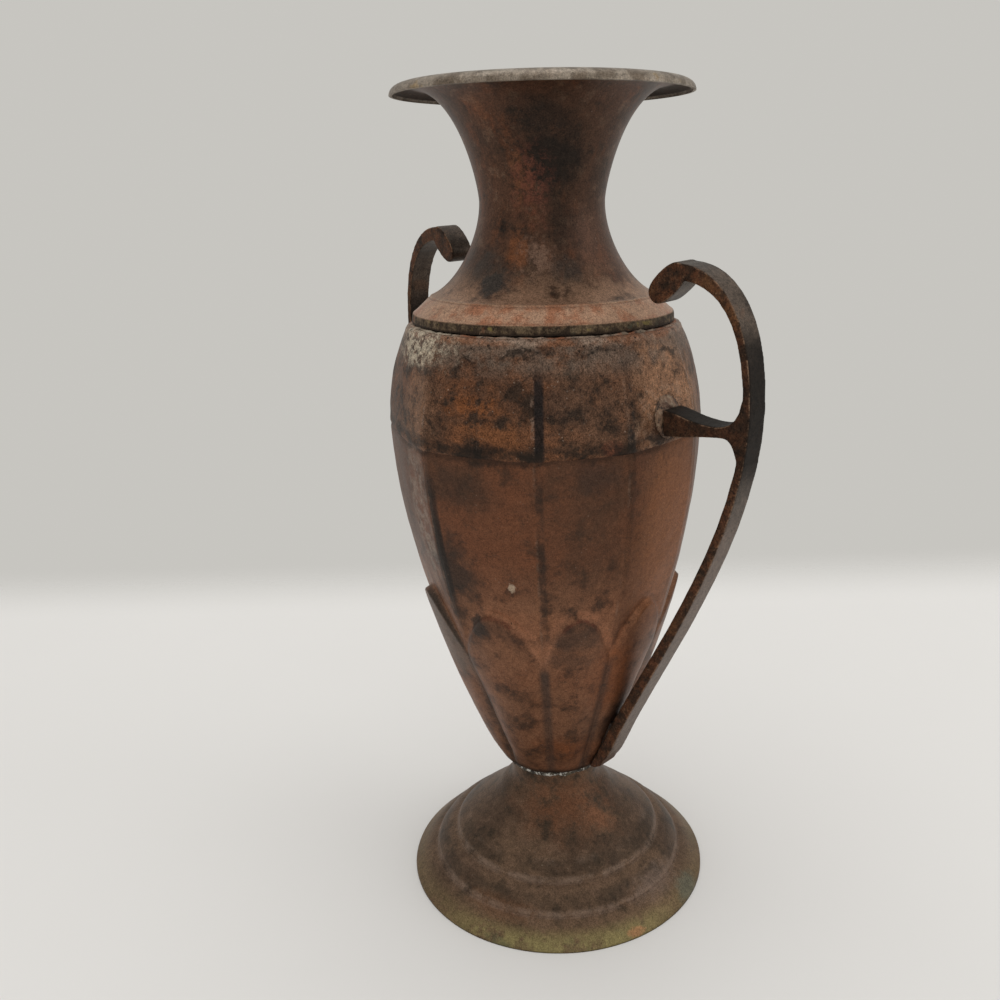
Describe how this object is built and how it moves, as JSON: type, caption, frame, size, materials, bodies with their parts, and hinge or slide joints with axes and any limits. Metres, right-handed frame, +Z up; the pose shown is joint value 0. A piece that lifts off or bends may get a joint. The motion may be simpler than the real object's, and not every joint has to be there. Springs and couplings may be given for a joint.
{
  "type": "urn vase",
  "caption": "Tall amphora-shaped copper urn vase: panelled ovoid body with arched lobes, flared neck, stepped round foot and strap handles with scroll and spur.",
  "frame": {"origin": "centre of the foot, on the plane it stands on", "axes": "+Z up along the body's axis, +X towards the lower-set right handle, +Y the other way round the body, 90 degrees anticlockwise from above"},
  "size_m": [0.2214, 0.1492, 0.3822],
  "materials": {
    "foot_copper": "dark brown patina with worn edges and verdigris at the rim",
    "body_copper": "mottled red-brown and near-black patina",
    "neck_copper": "mottled brown patina with orange streaks and a worn lip",
    "handle_casting": "rough cast, rust-brown sides and smoother grey-brown faces",
    "solder": "dull grey solder with beige corrosion"
  },
  "bodies": {
    "root": {"foot": "foot_copper", "base_solder": "solder", "body_lower": "body_copper", "body_upper": "body_copper", "shoulder_solder": "solder", "neck": "neck_copper", "handle_right": "handle_casting", "handle_left": "handle_casting", "spur_solder_right": "solder", "spur_solder_left": "solder", "heel_solder_right": "solder", "heel_solder_left": "solder"}
  },
  "joints": []
}
